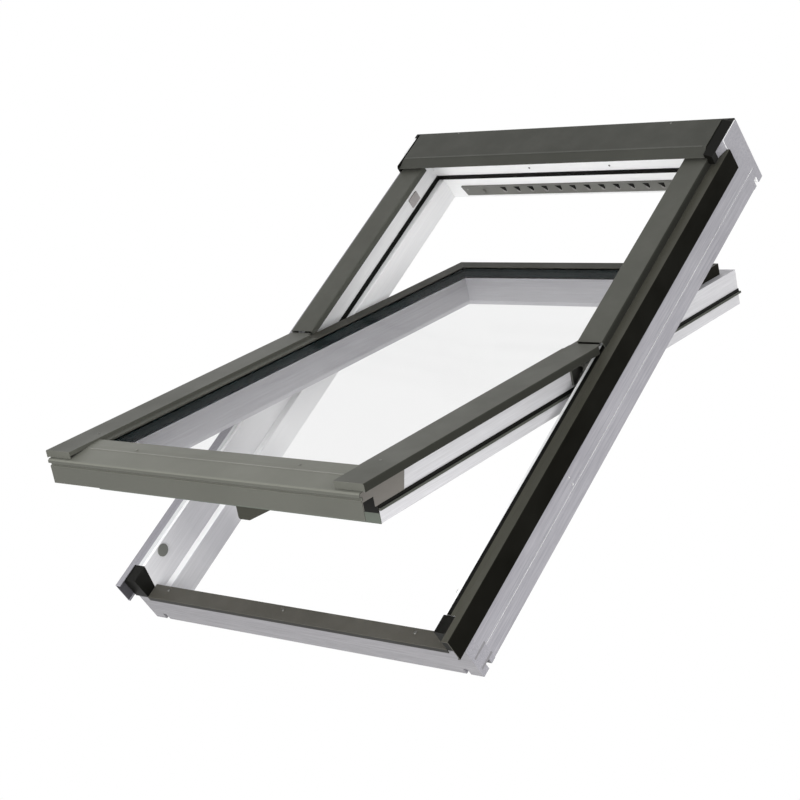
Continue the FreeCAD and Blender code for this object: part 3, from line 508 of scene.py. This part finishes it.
# The left channel in lilac: a painted reflection.
coated_metal("left_channel_reflection_metal", ROOF_PITCH, CHANNEL_REFLECTION_LILAC, CHANNEL_REFLECTION_LILAC, 0.34, dust=0.03,
             flank_shade=0.3, inner_shade=0.2)
coated_metal("drip_metal", SASH_LEAN, DRIP_BROWN, flank_shade=1.0)
coated_metal("foot_metal", SASH_LEAN, FOOT_SHADE_BLACK, CHANNEL_WORN_AND_HIGHLIGHT, 0.4, 0.1, 0.03,
             flank_shade=1.0, green_below=FOOT_GREEN_TOP)
coated_metal("handle_metal", SASH_LEAN, HANDLE_GREY, HANDLE_WORN_AND_HIGHLIGHT, 0.4, 0.12, 0.04)

window_glass("glass")
moulded("glass_edge", SASH_LEAN, EDGE_GREEN, 0.35, 0.1)
moulded("frame_rubber", ROOF_PITCH, BLACK, 0.6, 0.1)
# The seal's left rim takes the lilac of the left channel, a painted reflection.
moulded("seal_rubber", ROOF_PITCH, BLACK, 0.6, 0.1, PALE_SEAL, SEAL_RIM_START,
        (CHANNEL_BROWN, CHANNEL_REFLECTION_LILAC))
moulded("sash_rubber", SASH_LEAN, BLACK, 0.6, 0.1)
moulded("black_plastic", ROOF_PITCH, BLACK, 0.5, 0.12)
moulded("grey_plastic", ROOF_PITCH, VENT_GREY, 0.45, 0.15)
moulded("plug_plastic", ROOF_PITCH, PLUG_GREY, 0.45, 0.15)
moulded("pale_plastic", ROOF_PITCH, CATCH_GREY, 0.45, 0.15)
moulded("shutter_plastic", ROOF_PITCH, SHUTTER_GREY, 0.5, 0.1)
moulded("joint_shadow", ROOF_PITCH, JOINT_GREY, 0.6, 0.1)

plated_steel("hinge_steel", ROOF_PITCH, HINGE_STEEL)
plated_steel("screw_steel", ROOF_PITCH, SCREW_STEEL)

node_finishes = {
    "frame_timber_up": ["left_jamb", "right_jamb"],
    "frame_timber_across": ["head"],
    "sill_timber": ["sill"],
    "sash_timber_up": ["left_stile", "right_stile"],
    "sash_timber_across": ["top_rail", "bottom_rail"],
    "hood_cladding": ["hood"],
    "cover_cladding": ["left_upper_cover", "right_upper_cover"],
    "strip_cladding": ["sill_strip"],
    "apron_cladding": ["apron"],
    "sash_cladding": ["left_side_cover", "right_side_cover"],
    "bead_cladding": ["left_glazing_bead", "right_glazing_bead", "top_glazing_bead"],
    "drip_metal": ["left_drip_strip", "right_drip_strip"],
    "channel_metal": ["right_side_channel"],
    "left_channel_reflection_metal": ["left_side_channel"],
    "bracket_metal": ["left_apron_bracket", "right_apron_bracket"],
    "foot_metal": ["foot_strip"],
    "glass": ["outer_pane", "inner_pane"],
    "glass_edge": ["glass_spacer"],
    "frame_rubber": ["left_frame_gasket", "right_frame_gasket", "head_gasket"],
    "seal_rubber": ["jamb_seals"],
    "sash_rubber": ["left_sash_seal", "right_sash_seal"],
    "black_plastic": ["left_corner_block", "right_corner_block", "hood_ends"],
    "grey_plastic": ["ventilator", "vent_knob"],
    "plug_plastic": ["left_plug", "right_plug"],
    "pale_plastic": ["catch_plate"],
    "hinge_steel": [
        "left_hinge_track", "right_hinge_track", "left_hinge_link", "right_hinge_link",
        "left_hinge_shoe", "right_hinge_shoe",
    ],
    "handle_metal": ["handle_base", "handle_lever"],
}

for finish_name, node_names in node_finishes.items():
    for node_name in node_names:
        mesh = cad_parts[node_name].data
        mesh.materials.clear()
        mesh.materials.append(materials[finish_name])


# Small pieces

def finished_piece(name, work, place, material):
    """Turns a bmesh drawn in window points into a piece that rides with the window."""
    bmesh.ops.remove_doubles(work, verts=work.verts, dist=1e-6)
    bmesh.ops.recalc_face_normals(work, faces=work.faces)
    work.transform(place)
    mesh = bpy.data.meshes.new(name)
    work.to_mesh(mesh)
    work.free()
    mesh.materials.append(materials[material])
    piece = bpy.data.objects.new(name, mesh)
    bpy.context.scene.collection.objects.link(piece)
    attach(piece, "root")
    return piece


def verts_of(geometry):
    return [item for item in geometry if isinstance(item, bmesh.types.BMVert)]


def screw_head(work, point, radius, height):
    """A flat-rimmed pan head with a slot pressed across it."""
    rim = bmesh.ops.create_circle(work, cap_ends=True, segments=20, radius=radius)["verts"]
    top = [face for face in rim[0].link_faces if len(face.verts) == len(rim)]
    raised = bmesh.ops.extrude_face_region(work, geom=top)["geom"]
    raised_verts = verts_of(raised)
    bmesh.ops.translate(work, verts=raised_verts, vec=(0, 0, height))
    bmesh.ops.scale(work, verts=raised_verts, vec=(0.78, 0.78, 1))
    cap = [item for item in raised if isinstance(item, bmesh.types.BMFace)]
    bmesh.ops.inset_individual(work, faces=cap, thickness=radius * 0.42, depth=-height * 0.55)
    bmesh.ops.translate(work, verts=list({*rim, *raised_verts, *cap[0].verts}), vec=point)


def screws(name, place, points, radius, height, material="screw_steel"):
    work = bmesh.new()
    for point in points:
        screw_head(work, point, radius, height)
    finished_piece(name, work, place, material)


def raised_outline(work, corners, height):
    """A flat outline drawn in the plane's first two coordinates, raised along the third."""
    rim = bmesh.ops.create_circle(work, cap_ends=True, segments=len(corners), radius=1.0)["verts"]
    for vert, (across, along) in zip(rim, corners):
        vert.co = (across, along, 0)
    raised = bmesh.ops.extrude_face_region(work, geom=list(rim[0].link_faces))["geom"]
    raised_verts = verts_of(raised)
    bmesh.ops.translate(work, verts=raised_verts, vec=(0, 0, height))
    return [*rim, *raised_verts]


def disc(work, middle, radius, height, segments=20):
    corners = [
        (middle[0] + radius * math.sin(2 * math.pi * i / segments),
         middle[1] + radius * math.cos(2 * math.pi * i / segments))
        for i in range(segments)
    ]
    return raised_outline(work, corners, height)


def pressed_line(name, place, ends, foot, top, level, height, material):
    """A narrow raised line across a sheet metal face."""
    work = bmesh.new()
    corners = [(ends[0], foot), (ends[1], foot), (ends[1], top), (ends[0], top)]
    bmesh.ops.translate(work, verts=raised_outline(work, corners, height), vec=(0, 0, level))
    finished_piece(name, work, place, material)


def head_face(level):
    """The plane of the head's lower face, with the window's depth as its second coordinate."""
    return frame_place @ Matrix.Translation((0, level, 0)) @ Matrix.Rotation(QUARTER_TURN, 4, "X")


screws("hood_screws", frame_place, [(-0.263, 1.1698, 0.0092), (0.258, 1.1674, 0.0092)], 0.0022, 0.0006)
screws("sill_strip_screws", frame_place, [(x, 0.017, -0.0702) for x in (-0.316, -0.024, 0.277)],
       0.0028, 0.0008)
screws("apron_screws", sash_place, [(-0.187, 0.020, -0.0030), (0.192, 0.026, -0.0030)],
       0.0026, 0.0008, "rib_highlight_metal")
screws("cover_screws", sash_place, [(side * 0.332, 0.0625, 0.0016) for side in (-1, 1)], 0.0024, 0.0008)

# Raised lines in a lighter brown: painted highlights along the apron's crease and the hood's fold.
pressed_line("apron_rib_highlight", sash_place, (-0.305, 0.305), 0.0112, 0.0142, -0.0056, 0.0010, "rib_highlight_metal")
pressed_line("hood_fold_highlight", frame_place, (-0.364, 0.360), 1.0955, 1.0990, 0.0088, 0.0005, "fold_highlight_metal")

# Ventilator: a pale shutter at each opening, a thin black piece over each opening's mouth as painted shade,
# and a pin at the left end

VENT_FACE = 1.136
VENT_MIDDLE = -0.12225
VENT_FIRST = -0.19525
VENT_PITCH = 0.0355
VENT_OPENINGS = 12
SHUTTER_SHIFT = (0.0022, -0.0008)
SHUTTER_RADIUS = 0.0052
VENT_PIN = (-0.2906, -0.118)
MOUTH_SHADOW_CORNERS = [(-0.0072, 0.0092), (0.0052, -0.0036), (0.0068, -0.0010), (0.0070, 0.0092)]
vent_places = [VENT_FIRST + VENT_PITCH * i for i in range(VENT_OPENINGS)]

work = bmesh.new()
for across in vent_places:
    disc(work, (across + SHUTTER_SHIFT[0], VENT_MIDDLE + SHUTTER_SHIFT[1]), SHUTTER_RADIUS, 0.0003)
disc(work, VENT_PIN, 0.0018, 0.0004, 12)
finished_piece("vent_shutters", work, head_face(VENT_FACE), "shutter_plastic")

work = bmesh.new()
for across in vent_places:
    raised_outline(work, [(across + x, VENT_MIDDLE + z) for x, z in MOUTH_SHADOW_CORNERS], 0.0006)
finished_piece("vent_mouth_shadows", work, head_face(VENT_FACE), "black_plastic")

# Two pins in the head above the ventilator

HEAD_FACE = 1.140
HEAD_PINS = [(-0.1033, -0.067), (0.0936, -0.068)]
work = bmesh.new()
for pin in HEAD_PINS:
    disc(work, pin, 0.0022, 0.0004, 14)
finished_piece("head_pins", work, head_face(HEAD_FACE), "screw_steel")

# Hood caps, the left one thinner than the right one

CAP_END = 0.3725
CAP_SQUEEZE = 0.25
work = bmesh.new()
work.from_mesh(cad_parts["hood_ends"].data)
left_part = [vert for vert in work.verts if vert.co.x < 0]
bmesh.ops.translate(work, verts=left_part, vec=(CAP_END, 0, 0))
bmesh.ops.scale(work, verts=left_part, vec=(CAP_SQUEEZE, 1, 1))
bmesh.ops.translate(work, verts=left_part, vec=(-CAP_END, 0, 0))
hood_caps = finished_piece("hood_caps", work, Matrix.Identity(4), "black_plastic")
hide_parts("hood_ends")

# Ends of the finger joints on the frame's sides, each a little wider away from the corner

JOINT_LEVELS = (-0.1024, -0.1285)
JOINT_START, JOINT_END = 0.006, 0.041
START_HALF, END_HALF = 0.0020, 0.0026
work = bmesh.new()
for side in (-1, 1):
    outward = Matrix(((0, 0, side), (1, 0, 0), (0, 1, 0))).to_4x4()
    side_face = Matrix.Translation((side * HALF_WIDTH, 0, 0)) @ outward
    for level in JOINT_LEVELS:
        corners = [
            (JOINT_START, level - START_HALF), (JOINT_END, level - END_HALF),
            (JOINT_END, level + END_HALF), (JOINT_START, level + START_HALF),
        ]
        bmesh.ops.transform(work, verts=raised_outline(work, corners, 0.0002), matrix=side_face)
finished_piece("joint_marks", work, frame_place, "joint_shadow")


# Floor, light and camera

FLOOR_DROP = 0.9
FLOOR_SIZE = 30.0
ROOM_LIGHT = 0.9


def white_to_eye(tree):
    """A mask for whatever the camera, a reflection or the glass looks at directly."""
    path = add_node(tree, "ShaderNodeLightPath")
    seen = maths(tree, "MAXIMUM", path.outputs["Is Camera Ray"], path.outputs["Is Glossy Ray"])
    return maths(tree, "MAXIMUM", seen, path.outputs["Is Transmission Ray"])


floor_mesh = bpy.data.meshes.new("floor")
floor_work = bmesh.new()
bmesh.ops.create_grid(floor_work, x_segments=1, y_segments=1, size=FLOOR_SIZE)
bmesh.ops.translate(floor_work, verts=floor_work.verts, vec=(0, 0, cad_box[0].z - FLOOR_DROP))
floor_work.to_mesh(floor_mesh)
floor_work.free()
floor = bpy.data.objects.new("floor", floor_mesh)
bpy.context.scene.collection.objects.link(floor)

floor_material = bpy.data.materials.new("pale_floor")
floor_material.use_nodes = True
floor_tree = floor_material.node_tree
floor_shader = floor_tree.nodes["Principled BSDF"]
fill(floor_shader, Base_Color=(0.92, 0.92, 0.92, 1), Roughness=0.8)
floor_white = fill(add_node(floor_tree, "ShaderNodeEmission"), Color=(1, 1, 1, 1), Strength=1.0)
floor_mix = add_node(floor_tree, "ShaderNodeMixShader")
mix_inputs = (white_to_eye(floor_tree), floor_shader.outputs[0], floor_white.outputs[0])
for socket, value in zip(floor_mix.inputs, mix_inputs):
    feed(socket, value)
feed(floor_tree.nodes["Material Output"].inputs["Surface"], floor_mix.outputs[0])
floor_mesh.materials.append(floor_material)

world = bpy.data.worlds.new("studio")
bpy.context.scene.world = world
world.use_nodes = True
room = world.node_tree.nodes["Background"]
room_strength = spread(world.node_tree, white_to_eye(world.node_tree), 0, 1, ROOM_LIGHT, 1.0)
fill(room, Color=(1, 1, 1, 1), Strength=room_strength)


def soft_box(name, place, aim, size, power):
    light = bpy.data.lights.new(name, "AREA")
    light.shape = "RECTANGLE"
    light.size, light.size_y = size
    light.energy = power
    lamp = bpy.data.objects.new(name, light)
    lamp.location = place
    lamp.rotation_euler = (Vector(aim) - Vector(place)).to_track_quat("-Z", "Y").to_euler()
    bpy.context.scene.collection.objects.link(lamp)


middle = (cad_box[0] + cad_box[1]) / 2
soft_box("key_light", (1.6, -2.6, 2.4), middle, (2.2, 1.6), 10)
soft_box("front_light", (0.4, -3.2, -0.2), middle, (2.2, 1.4), 75)
soft_box("side_light", (3.2, -1.0, 0.6), middle, (1.6, 1.6), 38)
soft_box("under_light", (0.3, -1.3, -0.75), (0, 0.75, 0.8), (1.6, 0.8), 10)

camera_data = bpy.data.cameras.new("camera")
camera_data.sensor_width = 36.0
camera_data.lens = 86.53
camera_data.clip_start = 0.1
camera_data.clip_end = 100
camera = bpy.data.objects.new("camera", camera_data)
camera.location = (2.2853, -2.3683, 0.6312)
camera.rotation_euler = (math.radians(86.0504), math.radians(-0.4399), math.radians(41.0149))
bpy.context.scene.collection.objects.link(camera)
bpy.context.scene.camera = camera

bpy.context.scene.view_settings.view_transform = "Standard"
